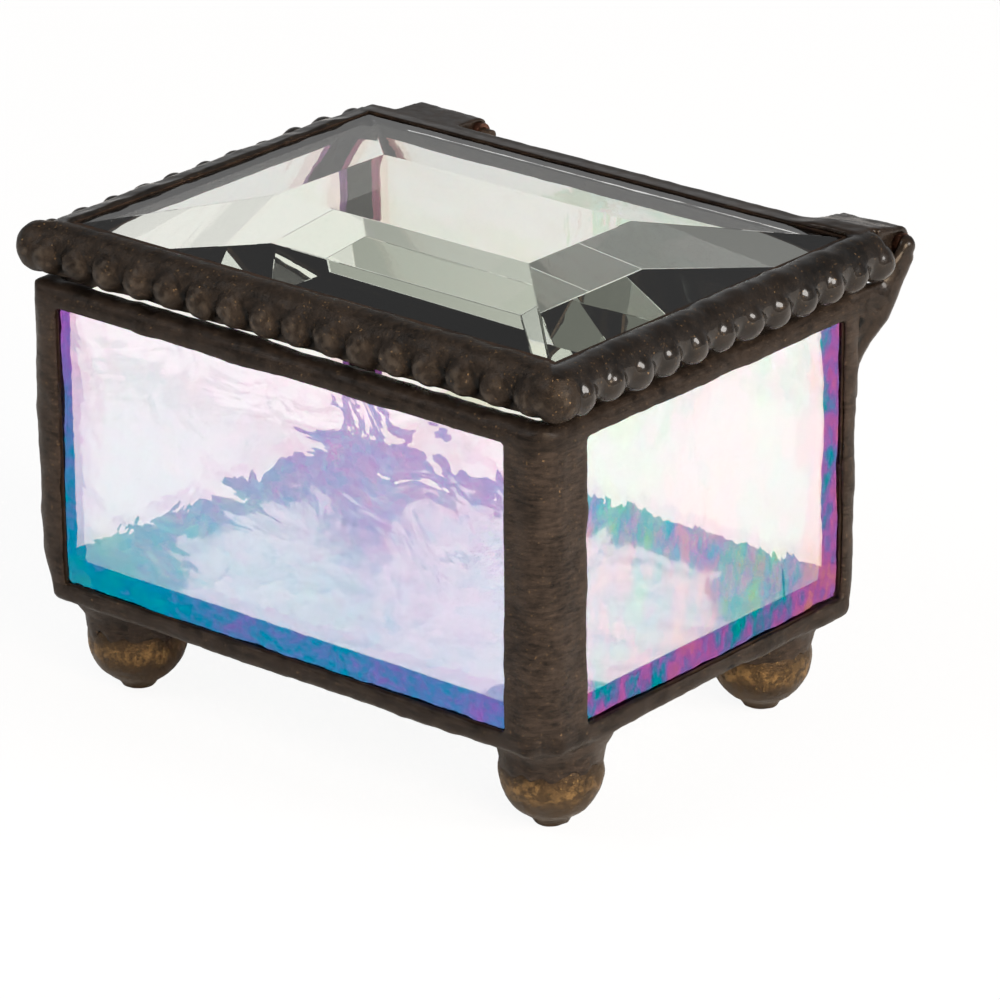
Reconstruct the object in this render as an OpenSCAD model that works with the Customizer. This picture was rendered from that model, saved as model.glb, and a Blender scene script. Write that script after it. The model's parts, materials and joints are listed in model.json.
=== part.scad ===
// Small hinged glass casket box: five panes of iridescent glass held by dark
// soldered seams, a thick bevelled lid in a beaded solder rim, two soldered
// tube-and-rod hinges at the back and four brass ball feet.
// X runs along the long front, Y to the back, Z up. Millimetres.
// The origin is at table level under the middle of the whole object.

/* [Box] */
// Width of the box over its solder
box_w = 50.4; // [46:0.2:60]
// Depth of the box over its solder
box_d = 37.7; // [34:0.1:48]
// Height of the standing glass panes
pane_h = 24.4; // [20:0.1:34]
// Thickness of the five box panes
glass_t = 1.8; // [1.6:0.1:2.4]

/* [Solder and foil] */
// How far the solder stands proud of the pane faces
solder_t = 0.45; // [0.35:0.05:0.7]
// Thickness of the copper foil round each pane
foil_t = 0.1; // [0.06:0.02:0.14]
// Solder-filled gap between two foiled panes
joint_gap = 0.1; // [0.06:0.02:0.2]
// Radius of the standing outside corners
corner_r = 2.2; // [1.5:0.1:2.6]
// Height of the solder above the top of the panes
rim_rise = 0.65; // [0.5:0.05:1]
// Rounding of the solder along the top of the box
rim_round = 1.1; // [0.6:0.05:1.2]
// Width of the solder along the top edge of the panes
top_band = 1.7; // [1.4:0.05:2.6]
// Width of the solder along the bottom edge of the panes
bottom_band = 1.75; // [1.7:0.05:3]
// Rounding of the outer bottom edge
bottom_round = 0.9; // [0.5:0.05:1.2]
// How far the bottom seam runs in under the bottom pane
under_band = 4.4; // [4:0.05:5]
// Leg of the solder fillets inside the box
inner_fillet = 1.1; // [0.8:0.1:1.8]
// Width on the front of the seam at the front left corner
seam_front_left = 3.3; // [2.9:0.1:5]
// Width on the front of the seam at the front right corner
seam_front_right = 4; // [2.9:0.1:5.4]
// Width on the right side of the seam at the front right corner
seam_right_front = 5; // [2.9:0.1:6]
// Width on the right side of the seam at the back right corner
seam_right_back = 3; // [2.9:0.1:5]
// Width of the seams on the back and the left side
seam_other = 3.4; // [2.9:0.1:5]

/* [Lid] */
// Inset of the lid glass from the left and right sides of the box
lid_inset_side = 0.85; // [0.6:0.05:1.4]
// Inset of the lid glass from the front of the box
lid_inset_front = 1.9; // [1:0.1:2.2]
// How far the lid glass reaches past the back of the box
lid_over_back = 0.55; // [0.3:0.05:1.5]
// Thickness of the lid glass in its flat middle
lid_glass_t = 4.7; // [4.2:0.1:6]
// Thickness of the lid glass at its bevelled edge
lid_edge_t = 2.6; // [2.2:0.1:3]
// Width of the bevel on all four sides
bevel_w = 12.3; // [9:0.1:14]
// Gap between the box rim and the lowest beads of the lid
lid_gap = 0.5; // [0.2:0.05:0.6]
// Radius of the smooth roll of solder round the lid
roll_r = 1.7; // [1.6:0.05:2]
// How far the middle of the side rolls lies outside the glass edge
roll_out = 0.25; // [0:0.05:0.4]
// How far the middle of the front roll lies inside the glass edge
roll_front_in = 0.35; // [0:0.05:0.5]
// Radius of the knobs at the front corners of the rim
knob_r = 1.95; // [1.9:0.05:2]
// How far the middle of a knob lies outside the side of the glass
knob_out = 0.3; // [0.2:0.05:0.5]
// Height of the middle of the roll above the underside of the glass
roll_rise = 1.64; // [1.4:0.02:1.8]
// Radius of the beads on the roll
bead_r = 1.54; // [1.4:0.02:1.7]
// How far the middle of the side beads lies outside the glass edge
bead_out = 0.9; // [0.6:0.05:1]
// How far the middle of the front beads lies outside the glass edge
bead_front_out = 0.55; // [0.4:0.05:1]
// How far the middle of the beads lies below the middle of the roll
bead_drop = 0.55; // [0.4:0.05:0.7]
// Beads along the front, between the smooth corners
beads_front = 16; // [9:1:17]
// Beads along each side
beads_side = 12; // [7:1:13]
// Inset of the outermost front beads from the ends of the glass
bead_corner_x = 1.1; // [0.8:0.1:2.5]
// Inset of the foremost side beads from the front edge of the glass
bead_corner_y = 1.5; // [1.2:0.1:2.5]
// Rounding of the lid's outer corners
lid_corner_r = 2.3; // [1.5:0.1:3]
// How far the rim solder covers the underside of the lid glass
lid_under = 1.6; // [1:0.1:2.2]
// Solder behind the back edge of the lid glass
lid_back_t = 0.7; // [0.5:0.05:1]
// How far the back rim covers the top of the lid glass
lid_back_cover = 1.3; // [1.2:0.05:2.6]

/* [Hinge] */
// Diameter of the hinge rods
rod_d = 1; // [0.8:0.05:1.1]
// Radial clearance of the rods in their tubes
rod_clearance = 0.05; // [0.03:0.01:0.09]
// Wall of the hinge tubes
tube_wall = 0.3; // [0.2:0.05:0.4]
// Solder over the hinge tubes
tube_skin = 0.35; // [0.2:0.05:0.5]
// Distance of the hinge axis behind the lid glass
axis_back = 3.3; // [3.2:0.05:4.5]
// Height of the hinge axis above the underside of the lid glass
axis_rise = 1.5; // [1.4:0.05:2.4]
// Inset of the left tube's outer end from the left side of the box
tube_left_in = 2.7; // [1.8:0.1:5]
// Length of the left tube
tube_left_len = 7.1; // [5:0.1:12]
// How far the right tube's outer end lies past the right side of the box
tube_right_past = 0.05; // [-2:0.05:0.05]
// Length of the right tube
tube_right_len = 6.4; // [5:0.1:12]
// How much of each tube end the solder leaves bare
tube_bare = 0.4; // [0.3:0.1:1]
// Gap between a tube's outer end and the bend of its rod
rod_side_gap = 0.15; // [0.1:0.05:0.3]
// How far a rod shows past its tube's inner end
rod_end = 0.9; // [0.4:0.1:2]
// Inset of a leg's lower end from the side of the box
leg_inset = 0.6; // [0.4:0.05:1.2]
// Depth of a leg's lower end behind the back of the box
leg_behind = 0.2; // [0.2:0.05:0.4]
// Drop of a leg from the hinge axis to its knee
knee_drop = 6.3; // [5.6:0.1:8]
// Length of a leg below its knee
leg_len = 4.5; // [2:0.5:10]
// Solder over the rod legs
leg_skin = 0.3; // [0.2:0.05:0.4]

/* [Feet] */
// Diameter of the ball feet
ball_d = 7.7; // [7:0.1:9]
// Diameter of the small pad under each ball
pad_d = 2.1; // [1.4:0.1:2.6]
// Height of the pad
pad_h = 0.4; // [0.2:0.05:0.8]
// Depth of the ball's top in the solder under the box
ball_sink = 0.1; // [0.05:0.05:0.6]
// Inset of the front left ball from the left side
foot_fl_side = 5.1; // [4.8:0.1:7]
// Inset of the front left ball from the front
foot_fl_front = 6; // [4.8:0.1:7]
// Inset of the front right ball from the right side
foot_fr_side = 5.2; // [4.8:0.1:7]
// Inset of the front right ball from the front
foot_fr_front = 6.9; // [4.8:0.1:7.5]
// Inset of the back right ball from the right side
foot_br_side = 6.2; // [4.8:0.1:7]
// Inset of the back right ball from the back
foot_br_back = 4.8; // [4.8:0.1:7]
// Inset of the back left ball from the left side
foot_bl_side = 5.5; // [4.8:0.1:7]
// Inset of the back left ball from the back
foot_bl_back = 5; // [4.8:0.1:7]
// Height of the solder collar round the top of a ball
collar_h = 2.2; // [1:0.1:2.4]
// How far the collar spreads beyond the ball
collar_spread = 1; // [0.7:0.1:1.1]
// Thickness of the collar's edges
collar_lip = 0.15; // [0.1:0.05:0.3]

/* [Hidden] */
$fn = 64;
big = 200;
skin_t = solder_t - foil_t;

// Half sizes and insets from the outside faces of the box
half_w = box_w / 2;
half_d = box_d / 2;
pane_in = solder_t + glass_t;
pane_end = pane_in + 2 * foil_t + joint_gap;
fillet_in = pane_in + foil_t;

// Heights from the table up
ball_r = ball_d / 2;
ball_z = pad_h + sqrt(ball_r * ball_r - pad_d * pad_d / 4);
ball_seat = ball_r - ball_sink;
floor_z = ball_z + ball_seat;
pane_z0 = floor_z + solder_t;
pane_z1 = pane_z0 + pane_h;
rim_top = pane_z1 + rim_rise;
window_z0 = floor_z + bottom_band;
window_z1 = rim_top - top_band;
floor_top = pane_z0 + glass_t + foil_t;
bead_z = rim_top + lid_gap + bead_r;
roll_z = bead_z + bead_drop;
lid_z0 = roll_z - roll_rise;
axis_z = lid_z0 + axis_rise;

// Plan of the lid, from the middle of the box
lid_glass_w = box_w - 2 * lid_inset_side;
lid_glass_d = box_d - lid_inset_front + lid_over_back;
lid_back = (lid_inset_front + lid_over_back) / 2;
lid_half_w = lid_glass_w / 2;
lid_half_d = lid_glass_d / 2;
lid_front_y = lid_back - lid_half_d;
lid_back_y = lid_back + lid_half_d;
axis_y = lid_back_y + axis_back;
bead_x = lid_half_w + bead_out;
bead_front_y = lid_front_y - bead_front_out;
bead_y0 = lid_front_y + bead_corner_y;
bead_y1 = lid_back_y - 0.2;
front_reach = max(bead_front_out + bead_r, knob_r + 0.1);
rod_r = rod_d / 2;
bore_r = rod_r + rod_clearance;
tube_r = bore_r + tube_wall;
tube_over_r = tube_r + tube_skin;

// The whole object reaches from the front beads to the back of the hinges
box_y = -(axis_y + tube_over_r + lid_front_y - front_reach) / 2;

// ---------- shared shapes ----------

// A box between two corners, grown on every side
module block(lo, hi, grow = 0)
  translate([for (i = [0:2]) lo[i] - grow]) cube([for (i = [0:2]) hi[i] - lo[i] + 2 * grow]);

// A box inset by the same amount from all four outside faces of the casket
module inset_block(inset, z0, z1)
  block([-half_w + inset, -half_d + inset, z0], [half_w - inset, half_d - inset, z1]);

// A rectangle between two corners, with those corners rounded
module round_rect(lo, hi, r) {
  translate([lo[0] + r, lo[1]]) square([hi[0] - lo[0] - 2 * r, hi[1] - lo[1]]);
  translate([lo[0], lo[1] + r]) square([hi[0] - lo[0], hi[1] - lo[1] - 2 * r]);
  for (x = [lo[0] + r, hi[0] - r])
    for (y = [lo[1] + r, hi[1] - r])
      translate([x, y]) circle(r);
}

// Extrudes a profile of inset and height along one side of a rectangle.
// Sides run round the plan: 0 front, 1 right, 2 back, 3 left.
module along_side(side, depth)
  rotate([0, 0, 90 * side])
    translate([-big / 2, -depth, 0])
      rotate([90, 0, 90])
        linear_extrude(big) children();

// The part of the plan that one side owns, cut at 45 degrees at both ends
module side_wedge(side, depth, half_run, reach)
  rotate([0, 0, 90 * side])
    translate([0, -depth, 0])
      linear_extrude(big)
        polygon([[-half_run - reach, -reach], [half_run + reach, -reach],
                 [half_run - reach, reach], [reach - half_run, reach]]);

// A round bar between two points
module bar(p, q, d) {
  step = q - p;
  run = norm(step);
  translate(p)
    rotate([0, acos(step[2] / run), atan2(step[1], step[0])])
      cylinder(h = run, d = d);
}

// The box stands about the middle of its own plan, the lid a little behind it
module on_box() translate([0, box_y, 0]) children();
module on_lid() translate([0, box_y + lid_back, 0]) children();

// ---------- panes of the box ----------

pane_x = half_w - pane_end;
pane_y = half_d - pane_end;
// Lowest and highest corners: front, right, back, left and bottom
PANES = [
  [[-pane_x, -half_d + solder_t, pane_z0], [pane_x, -half_d + pane_in, pane_z1]],
  [[half_w - pane_in, -pane_y, pane_z0], [half_w - solder_t, pane_y, pane_z1]],
  [[-pane_x, half_d - pane_in, pane_z0], [pane_x, half_d - solder_t, pane_z1]],
  [[-half_w + solder_t, -pane_y, pane_z0], [-half_w + pane_in, pane_y, pane_z1]],
  [[-pane_x, -pane_y, pane_z0], [pane_x, pane_y, pane_z0 + glass_t]]
];

module pane(i) color([0.82, 0.8, 0.95, 0.4]) on_box() block(PANES[i][0], PANES[i][1]);
module front_glass() pane(0);
module right_glass() pane(1);
module back_glass() pane(2);
module left_glass() pane(3);
module bottom_glass() pane(4);

// All panes in their foil, to cut the solder that lies round them
module foiled_panes() for (p = PANES) block(p[0], p[1], foil_t);

// Half of a foil's opening: along X (0) or Y (1), from the middle of the
// pane out through one face
module foil_window(along, run_lo, run_hi, from, to, z0) {
  lo = min(from, to);
  hi = max(from, to);
  if (along == 0)
    block([run_lo, lo, z0], [run_hi, hi, window_z1]);
  else
    block([lo, run_lo, z0], [hi, run_hi, window_z1]);
}

// Foil folded round the edges of a standing pane. Outside it ends with the
// seams, inside with the fillets.
module wall_foil(i, seam_lo, seam_hi) {
  lo = PANES[i][0];
  hi = PANES[i][1];
  along = i % 2;
  mid = (lo[1 - along] + hi[1 - along]) / 2;
  outward = glass_t * (i == 0 || i == 3 ? -1 : 1);
  half_run = along == 0 ? half_w : half_d;
  inside = half_run - fillet_in - inner_fillet;
  color("dimgray") on_box() difference() {
    block(lo, hi, foil_t);
    block(lo, hi);
    foil_window(along, seam_lo - half_run, half_run - seam_hi, mid, mid + outward, window_z0);
    foil_window(along, -inside, inside, mid, mid - outward, floor_top + inner_fillet);
  }
}
module front_foil() wall_foil(0, seam_front_left, seam_front_right);
module right_foil() wall_foil(1, seam_right_front, seam_right_back);
module back_foil() wall_foil(2, seam_other, seam_other);
module left_foil() wall_foil(3, seam_other, seam_other);
module bottom_foil() color("dimgray") on_box() difference() {
  block(PANES[4][0], PANES[4][1], foil_t);
  block(PANES[4][0], PANES[4][1]);
  inset_block(under_band, floor_z, pane_z0 + glass_t / 2);
  inset_block(fillet_in + inner_fillet, pane_z0 + glass_t / 2, floor_top + 1);
}

// ---------- solder of the box ----------

// Concave fillet in the inside corner of two foiled faces
fillet_edge = 0.12;
module fillet_profile() difference() {
  square(inner_fillet);
  translate([inner_fillet, inner_fillet]) circle(inner_fillet - fillet_edge);
}

// Section of a standing seam: the corner is at the origin, the box lies
// towards +X and +Y, and the seam is run_x and run_y wide on the two faces
module corner_profile(run_x, run_y) difference() {
  union() {
    square([run_x - skin_t, fillet_in]);
    translate([run_x - skin_t, skin_t]) circle(skin_t);
    square([fillet_in, run_y - skin_t]);
    translate([skin_t, run_y - skin_t]) circle(skin_t);
  }
  difference() {
    translate([-1, -1]) square(corner_r + 1);
    translate([corner_r, corner_r]) circle(corner_r);
  }
}

// Corners run round the plan: 0 front left, 1 front right, 2 back right, 3 back left
module corner_seam(corner, run_x, run_y) color("#453d36") on_box() difference() {
  sx = (corner == 0 || corner == 3) ? -1 : 1;
  sy = corner < 2 ? -1 : 1;
  fillet_z = floor_top + inner_fillet;
  translate([sx * half_w, sy * half_d, 0]) rotate([0, 0, 90 * corner]) {
    translate([0, 0, window_z0])
      linear_extrude(window_z1 - window_z0) corner_profile(run_x, run_y);
    translate([fillet_in, fillet_in, fillet_z]) linear_extrude(window_z1 - fillet_z) {
      fillet_profile();
      translate([-fillet_edge, -fillet_edge]) square(2 * fillet_edge);
    }
  }
  foiled_panes();
  for (s = [-1, 1]) rod_leg(s, rod_d);
}
module corner_seam_front_left() corner_seam(0, seam_front_left, seam_other);
module corner_seam_front_right() corner_seam(1, seam_right_front, seam_front_right);
module corner_seam_back_right() corner_seam(2, seam_other, seam_right_back);
module corner_seam_back_left() corner_seam(3, seam_other, seam_other);

function side_depth(side) = side % 2 == 0 ? half_d : half_w;
module box_side(side) {
  depth = side_depth(side);
  intersection() {
    along_side(side, depth) children();
    side_wedge(side, depth, side_depth(side + 1), under_band + 1);
    linear_extrude(big) round_rect([-half_w, -half_d], [half_w, half_d], corner_r);
  }
}

// Rounded run of solder over the top edge of one wall
module top_rim(side) color("#453d36") on_box() difference() {
  box_side(side) intersection() {
    round_rect([0, window_z1 - 2 * rim_round], [fillet_in + skin_t, rim_top], rim_round);
    translate([-1, window_z1]) square(big);
  }
  foiled_panes();
}
module top_rim_front() top_rim(0);
module top_rim_right() top_rim(1);
module top_rim_back() top_rim(2);
module top_rim_left() top_rim(3);

// Solder round the bottom edge of one wall, with its fillet inside the box
module bottom_seam(side) color("#3f3832") on_box() difference() {
  box_side(side) {
    difference() {
      translate([0, floor_z]) square([under_band, bottom_band]);
      translate([0, floor_z]) difference() {
        translate([-1, -1]) square(bottom_round + 1);
        translate([bottom_round, bottom_round]) circle(bottom_round);
      }
    }
    translate([fillet_in, floor_z + skin_t]) square([joint_gap, floor_top - floor_z]);
    translate([fillet_in, floor_top]) fillet_profile();
  }
  foiled_panes();
}
module bottom_seam_front() bottom_seam(0);
module bottom_seam_right() bottom_seam(1);
module bottom_seam_back() bottom_seam(2);
module bottom_seam_left() bottom_seam(3);

// ---------- feet ----------

// Insets of a ball from the side and from the front or back
function foot_side(sx, sy) =
  sy < 0 ? (sx < 0 ? foot_fl_side : foot_fr_side) : (sx < 0 ? foot_bl_side : foot_br_side);
function foot_end(sx, sy) =
  sy < 0 ? (sx < 0 ? foot_fl_front : foot_fr_front) : (sx < 0 ? foot_bl_back : foot_br_back);
module at_foot(sx, sy)
  translate([sx * (half_w - foot_side(sx, sy)), sy * (half_d - foot_end(sx, sy)), 0]) children();

// A ball cut level with the underside of the box, on its small round pad
module padded_ball() {
  intersection() {
    translate([0, 0, ball_z]) sphere(ball_r);
    translate([0, 0, floor_z / 2]) cube([big, big, floor_z], center = true);
  }
  cylinder(h = pad_h + 0.6, d = pad_d);
}

module foot(sx, sy) color("#8a6a33") on_box() at_foot(sx, sy) padded_ball();
module foot_front_left() foot(-1, -1);
module foot_front_right() foot(1, -1);
module foot_back_right() foot(1, 1);
module foot_back_left() foot(-1, 1);

// Solder collar that holds a ball, filled up to the pane above it
module foot_solder(sx, sy) color("#453d36") on_box() {
  collar_z = floor_z - collar_h;
  low_r = sqrt(ball_r * ball_r - pow(ball_seat - collar_h, 2));
  sweep_r = collar_h - collar_lip;
  difference() {
    at_foot(sx, sy) union() {
      rotate_extrude() difference() {
        translate([0, collar_z]) square([low_r + collar_spread, collar_h]);
        translate([low_r + collar_lip + sweep_r, collar_z]) circle(sweep_r);
      }
      translate([0, 0, collar_z]) cylinder(h = pane_z0 - collar_z, r = low_r - collar_lip);
    }
    at_foot(sx, sy) padded_ball();
    difference() {
      block([-big, -big, floor_z], [big, big, big]);
      inset_block(under_band, 0, 2 * big);
    }
  }
}
module foot_solder_front_left() foot_solder(-1, -1);
module foot_solder_front_right() foot_solder(1, -1);
module foot_solder_back_right() foot_solder(1, 1);
module foot_solder_back_left() foot_solder(-1, 1);

// ---------- hinge rods on the box, left -1 and right 1 ----------

function tube_out(s) = half_w + (s < 0 ? -tube_left_in : tube_right_past);
function tube_len(s) = s < 0 ? tube_left_len : tube_right_len;
// How far the rounded corner curves in from the back face at an inset from the side
function corner_dip(a) = a < corner_r ? corner_r - sqrt(corner_r * corner_r - pow(corner_r - a, 2)) : 0;
function leg_x(s) = tube_out(s) + rod_side_gap + rod_r;
function knee_x(s) = min(leg_x(s), half_w - leg_inset);
function knee_y(s) = half_d + leg_behind - corner_dip(half_w - knee_x(s));
function elbow(s) = [s * leg_x(s), axis_y, axis_z];
function knee(s) = [s * knee_x(s), knee_y(s), axis_z - knee_drop];
function leg_end(s) = knee(s) - [0, 0, leg_len];
// The balls in the bends are a hair larger than the bars that meet there
bend_over = 1.03;

module rod_leg(s, d) {
  bar(elbow(s), knee(s), d);
  translate(knee(s)) sphere(d = d * bend_over);
  bar(knee(s), leg_end(s), d);
}

module bent_rod(s) {
  bar([s * (tube_out(s) - tube_len(s) - rod_end), axis_y, axis_z], elbow(s), rod_d);
  translate(elbow(s)) sphere(d = rod_d * bend_over);
  rod_leg(s, rod_d);
}

module hinge_rod_left() color("#2f2a27") on_box() bent_rod(-1);
module hinge_rod_right() color("#2f2a27") on_box() bent_rod(1);

// Solder over a rod's leg, down on to the corner seam
module hinge_gusset(s) color("#453d36") on_box() difference() {
  over_d = rod_d + 2 * leg_skin;
  union() {
    rod_leg(s, over_d);
    translate(elbow(s)) sphere(d = over_d * bend_over);
    translate(leg_end(s)) sphere(d = over_d * bend_over);
  }
  bent_rod(s);
  linear_extrude(rim_top) round_rect([-half_w, -half_d], [half_w, half_d], corner_r);
  // Room for the tube and its solder to turn beside the leg
  translate([s > 0 ? 0 : -leg_x(s) + rod_r, axis_y, axis_z])
    rotate([0, 90, 0]) cylinder(h = leg_x(s) - rod_r, r = tube_over_r + rod_side_gap);
}
module hinge_gusset_left() hinge_gusset(-1);
module hinge_gusset_right() hinge_gusset(1);

// ---------- lid ----------

// The bevelled slab: two crossed prisms leave four equal bevels
module bevel_slab(grow = 0) translate([0, 0, lid_z0 - grow]) intersection() {
  bevel_prism(lid_glass_w + 2 * grow, lid_glass_d + 2 * grow, grow);
  rotate([0, 0, 90]) bevel_prism(lid_glass_d + 2 * grow, lid_glass_w + 2 * grow, grow);
}

module bevel_prism(across, along, grow)
  translate([0, along / 2, 0]) rotate([90, 0, 0]) linear_extrude(along)
    polygon([[-across / 2, 0], [across / 2, 0], [across / 2, lid_edge_t + 2 * grow],
             [across / 2 - bevel_w, lid_glass_t + 2 * grow],
             [bevel_w - across / 2, lid_glass_t + 2 * grow], [-across / 2, lid_edge_t + 2 * grow]]);

module lid_glass() color([0.86, 0.92, 0.89, 0.35]) on_lid() bevel_slab();

// How far the middle of a roll lies outside the glass edge, and how far the
// roll covers the top of the glass inside it
function roll_shift(side) = side == 0 ? -roll_front_in : roll_out;
function roll_cover(side) = sqrt(roll_r * roll_r - pow(lid_edge_t - roll_rise, 2)) - roll_shift(side);

module lid_foil() color("dimgray") on_lid() difference() {
  bevel_slab(foil_t);
  bevel_slab();
  block([lid_under - lid_half_w, lid_under - lid_half_d, 0],
        [lid_half_w - lid_under, lid_half_d - lid_under, lid_z0 + lid_edge_t / 2]);
  block([roll_cover(1) - lid_half_w, roll_cover(0) - lid_half_d, lid_z0 + lid_edge_t / 2],
        [lid_half_w - roll_cover(1), lid_half_d - lid_back_cover, big]);
}

// Section of the front and side rims: inset from the glass edge and height.
// Sides run as on the box: 0 front, 1 right, 3 left.
module roll_profile(side) {
  translate([-roll_shift(side), roll_z]) circle(roll_r);
  translate([-roll_out, lid_z0 - solder_t]) square([roll_out + lid_under, skin_t + foil_t / 2]);
}

// The corners of the rim are rounded in plan, just outside the roll
roll_half_w = lid_half_w + roll_shift(1) + roll_r + 0.06;
roll_half_d = lid_half_d + roll_shift(0) + roll_r + 0.06;

// One run of the roll: front 0, right 1 or left 3. The front run is mitred
// at both ends, and the side runs end at the back edge of the glass.
module roll_run(side) {
  depth = side == 0 ? lid_half_d : lid_half_w;
  reach = lid_under + roll_r + 2;
  intersection() {
    along_side(side, depth) roll_profile(side);
    if (side == 0)
      side_wedge(0, depth, lid_half_w, reach);
    else
      union() {
        side_wedge(side, depth, lid_half_d, reach);
        block([side == 1 ? 0 : -2 * lid_half_w, 0, 0], [side == 1 ? 2 * lid_half_w : 0, lid_half_d, big]);
      }
    block([-big, -big, 0], [big, lid_half_d, big]);
    linear_extrude(big)
      round_rect([-roll_half_w, -roll_half_d], [roll_half_w, big], lid_corner_r);
  }
}

module bead(x, y) translate([x, y - lid_back, bead_z]) sphere(bead_r);
module side_beads(s) for (i = [0:beads_side - 1])
  bead(s * bead_x, bead_y0 + i * (bead_y1 - bead_y0) / (beads_side - 1));
module front_beads() for (i = [0:beads_front - 1])
  bead((lid_half_w - bead_corner_x) * (2 * i / (beads_front - 1) - 1), bead_front_y);

// A smooth knob of solder where the front rim turns the corner
module knob(s) translate([s * (lid_half_w + knob_out), -lid_half_d - 0.1, roll_z - 0.35])
  rotate([0, 0, s < 0 ? 180 : 0]) sphere(knob_r);

module clear_of_glass() difference() {
  children();
  bevel_slab(foil_t);
}

module lid_roll_front() color("#38312b") on_lid() {
  clear_of_glass() roll_run(0);
  clear_of_glass() front_beads();
  for (s = [-1, 1]) clear_of_glass() knob(s);
}

// A side rim gives way to the front rim, its knob and its beads
module clear_of_front(s) difference() {
  children();
  roll_run(0);
  knob(s);
  bead(s * (lid_half_w - bead_corner_x), bead_front_y);
}

module lid_roll_side(s) color("#38312b") on_lid() {
  clear_of_front(s) clear_of_glass() roll_run(s > 0 ? 1 : 3);
  clear_of_front(s) clear_of_glass() side_beads(s);
}
module lid_roll_left() lid_roll_side(-1);
module lid_roll_right() lid_roll_side(1);

rim_back_rise = lid_edge_t + skin_t + 0.45;
module lid_rim_back() color("#38312b") on_lid() difference() {
  translate([-lid_half_w - foil_t, lid_half_d, lid_z0]) rotate([90, 0, 90])
    linear_extrude(lid_glass_w + 2 * foil_t) {
      round_rect([-lid_under, -solder_t], [lid_back_t, lid_edge_t / 2], 0.15);
      round_rect([-lid_back_cover, 0], [lid_back_t, rim_back_rise], 0.35);
    }
  bevel_slab(foil_t);
  for (side = [1, 3]) roll_run(side);
  for (s = [-1, 1]) side_beads(s);
}

// ---------- hinge tubes on the lid ----------

// Extrudes a section of Y and Z about the hinge axis, along one tube
module along_tube(s, bare)
  translate([s > 0 ? tube_out(s) - tube_len(s) + bare : bare - tube_out(s), axis_y, axis_z])
    rotate([90, 0, 90]) linear_extrude(tube_len(s) - 2 * bare) children();

module tube(s) color("#7a4a34") on_box() along_tube(s, 0) difference() {
  circle(tube_r);
  circle(bore_r);
}
module hinge_tube_left() tube(-1);
module hinge_tube_right() tube(1);

// Solder web from the back rim of the lid and over the tube, clear of the
// last side bead
module web(s) color("#38312b") on_box() difference() {
  along_tube(s, tube_bare) difference() {
    reach = axis_back - lid_back_t;
    union() {
      circle(tube_over_r);
      polygon([[0, tube_over_r - 0.04], [-reach, rim_back_rise - axis_rise - 0.1],
               [-reach, -axis_rise + 0.5], [0, 0.04 - tube_over_r]]);
    }
    circle(tube_r);
  }
  translate([0, lid_back, 0]) side_beads(s);
}
module hinge_solder_left() web(-1);
module hinge_solder_right() web(1);

front_glass();
back_glass();
left_glass();
right_glass();
bottom_glass();
front_foil();
back_foil();
left_foil();
right_foil();
bottom_foil();
corner_seam_front_left();
corner_seam_front_right();
corner_seam_back_right();
corner_seam_back_left();
top_rim_front();
top_rim_back();
top_rim_left();
top_rim_right();
bottom_seam_front();
bottom_seam_back();
bottom_seam_left();
bottom_seam_right();
hinge_rod_left();
hinge_rod_right();
hinge_gusset_left();
hinge_gusset_right();
foot_front_left();
foot_front_right();
foot_back_right();
foot_back_left();
foot_solder_front_left();
foot_solder_front_right();
foot_solder_back_right();
foot_solder_back_left();
lid_glass();
lid_foil();
lid_roll_front();
lid_roll_left();
lid_roll_right();
lid_rim_back();
hinge_tube_left();
hinge_tube_right();
hinge_solder_left();
hinge_solder_right();
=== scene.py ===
# %% [markdown]
# A small casket: five panes of rainbow-coated glass, a thick bevelled lid, and
# dark solder that runs along every edge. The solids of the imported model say
# where everything is. This script gives them the look of the real thing: solder
# that flowed and froze, glass that bends and tints the light, brass that wore.

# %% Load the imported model
import json
import math
import bpy
import bmesh
import numpy as np
from mathutils import Matrix, Vector, noise
from mathutils.bvhtree import BVHTree

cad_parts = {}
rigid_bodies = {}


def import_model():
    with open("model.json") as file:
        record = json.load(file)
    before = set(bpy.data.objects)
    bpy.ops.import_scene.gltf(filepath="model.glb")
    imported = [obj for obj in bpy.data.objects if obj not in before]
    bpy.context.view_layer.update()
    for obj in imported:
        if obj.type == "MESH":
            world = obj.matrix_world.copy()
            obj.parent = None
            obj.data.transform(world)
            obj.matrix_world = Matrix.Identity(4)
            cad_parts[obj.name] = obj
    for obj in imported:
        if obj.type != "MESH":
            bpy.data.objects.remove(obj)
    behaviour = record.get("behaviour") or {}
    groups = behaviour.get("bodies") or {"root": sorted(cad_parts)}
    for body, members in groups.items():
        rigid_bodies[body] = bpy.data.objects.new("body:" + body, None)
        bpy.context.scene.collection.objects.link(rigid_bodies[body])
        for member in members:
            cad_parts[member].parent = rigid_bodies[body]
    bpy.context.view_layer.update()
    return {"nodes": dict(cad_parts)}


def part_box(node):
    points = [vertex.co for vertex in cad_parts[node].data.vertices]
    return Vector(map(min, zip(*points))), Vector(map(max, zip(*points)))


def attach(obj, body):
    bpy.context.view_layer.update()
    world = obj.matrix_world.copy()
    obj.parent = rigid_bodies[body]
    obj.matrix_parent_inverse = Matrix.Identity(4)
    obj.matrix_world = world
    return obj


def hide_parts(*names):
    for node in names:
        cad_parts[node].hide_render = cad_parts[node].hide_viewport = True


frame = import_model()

MM = 0.001
CORNERS = ["front_left", "front_right", "back_right", "back_left"]
SIDES = ["front", "back", "left", "right"]

# %% [markdown]
# The camera stands where the photographer stood: high on the right front, far
# away with a long lens. Its numbers come from matching the corners of the
# casket in the photograph, so they are set once and left alone.

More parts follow.
